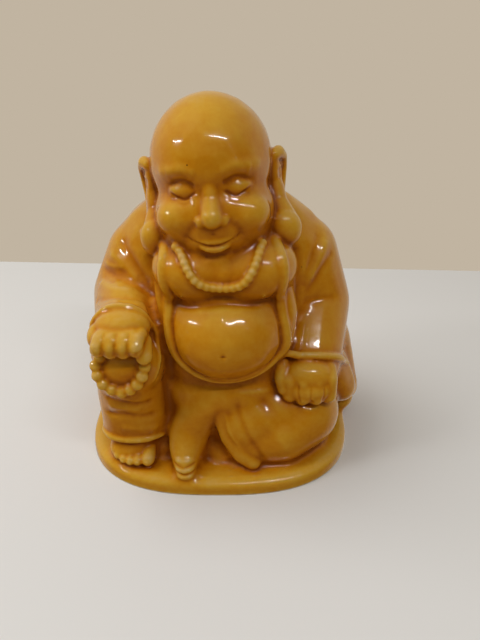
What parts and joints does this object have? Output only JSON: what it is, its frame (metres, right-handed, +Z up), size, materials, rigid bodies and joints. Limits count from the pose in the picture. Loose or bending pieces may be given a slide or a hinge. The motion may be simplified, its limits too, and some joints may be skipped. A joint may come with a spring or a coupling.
{
  "type": "ceramic buddha statue",
  "caption": "Glossy amber-glazed ceramic figure of a laughing buddha seated on a low rounded slab, one hand with prayer beads on a raised knee.",
  "frame": {"origin": "middle of the slab's flat underside", "axes": "+Z up, the figure faces -Y, its own right hand is at -X"},
  "size_m": [0.2013, 0.1618, 0.2401],
  "materials": {
    "amber_glaze": "high-gloss coloured glaze, thinner and paler on raised edges, deeper orange-brown in the hollows"
  },
  "bodies": {
    "root": {"buddha_statue": "amber_glaze"}
  },
  "joints": []
}
